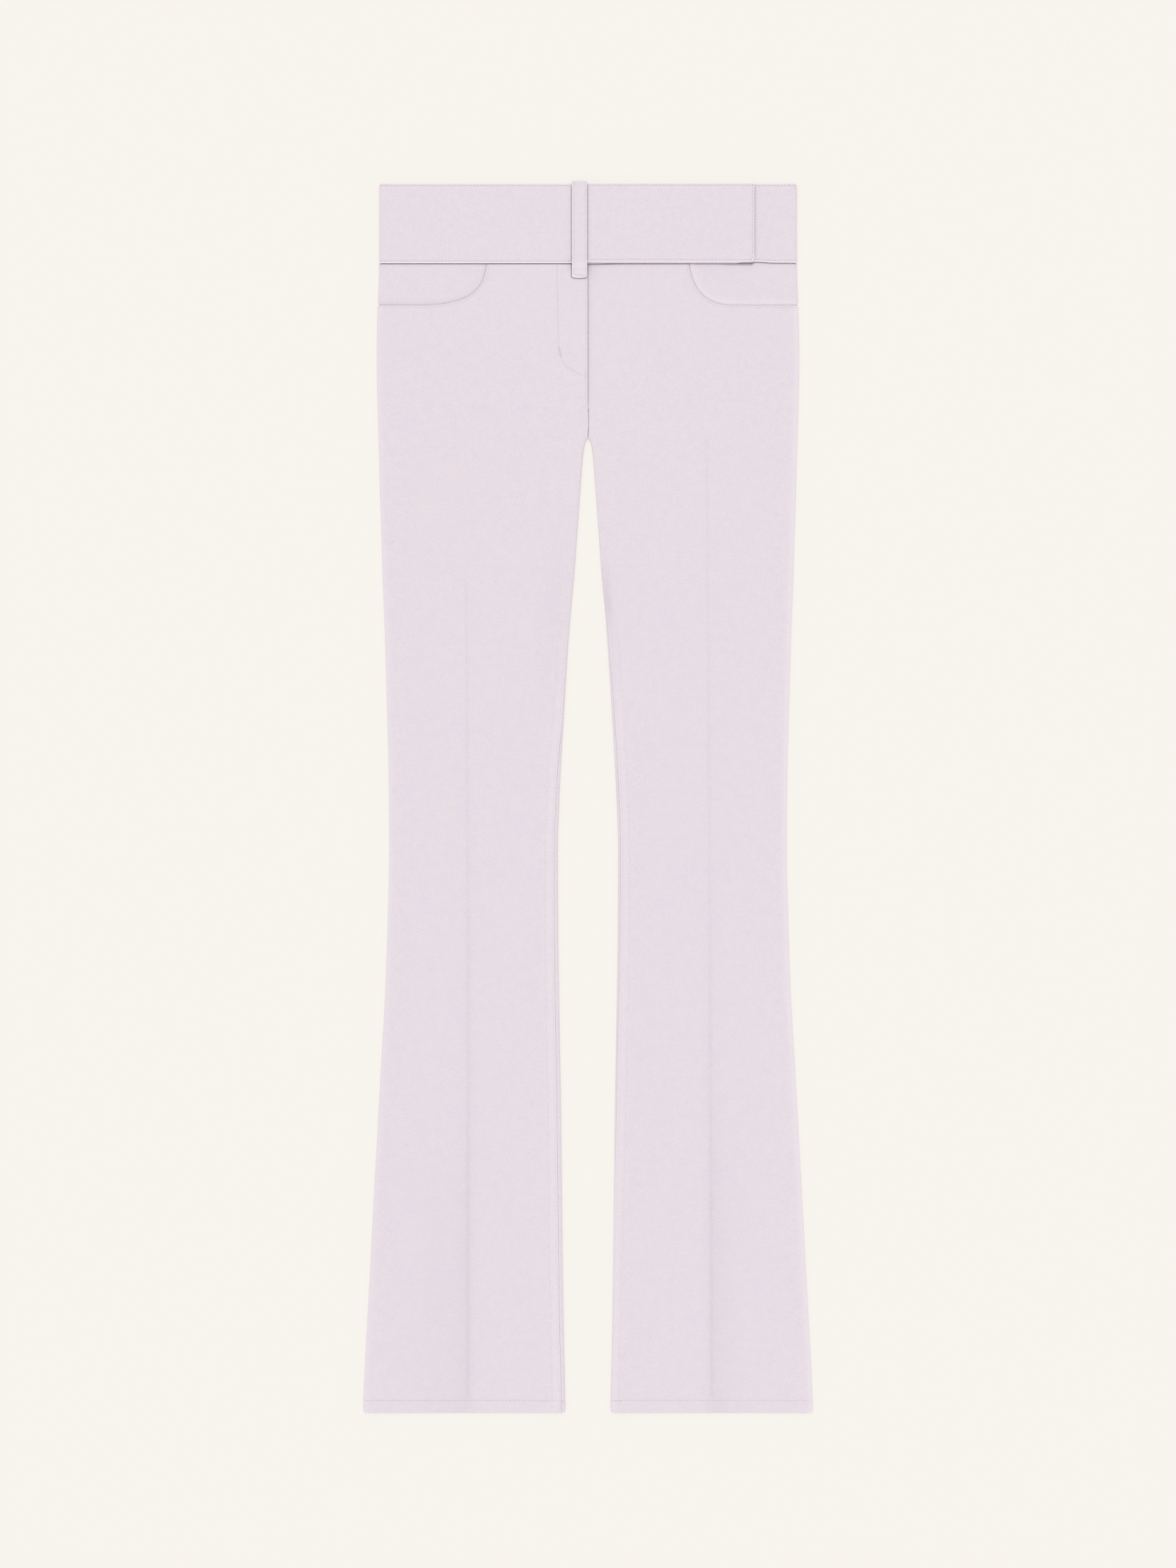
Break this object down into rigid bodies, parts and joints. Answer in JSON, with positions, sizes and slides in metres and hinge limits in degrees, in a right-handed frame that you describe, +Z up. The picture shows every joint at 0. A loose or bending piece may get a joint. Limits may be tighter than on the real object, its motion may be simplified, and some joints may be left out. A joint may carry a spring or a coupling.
{
  "type": "bootcut trousers",
  "caption": "Bootcut trousers lying flat, front up, with scooped pocket openings, pressed creases and a wide waistband whose long tab laps over the fly under a belt loop.",
  "frame": {"origin": "on the surface that the garment lies on, below the middle of its length and width", "axes": "+X towards the wearer's left side, +Y up the garment to the waist, +Z up, out of the garment's front"},
  "size_m": [0.3956, 1.0824, 0.0097],
  "materials": {
    "cloth": "pale lilac-grey gabardine with a soft nap, matt"
  },
  "bodies": {
    "root": {"front_right": "cloth", "front_left": "cloth", "back_right": "cloth", "back_left": "cloth", "pocket_facing_right": "cloth", "pocket_facing_left": "cloth", "waistband_front_right": "cloth", "waistband_front_left": "cloth", "waistband_back": "cloth", "belt_loop": "cloth"}
  },
  "joints": []
}
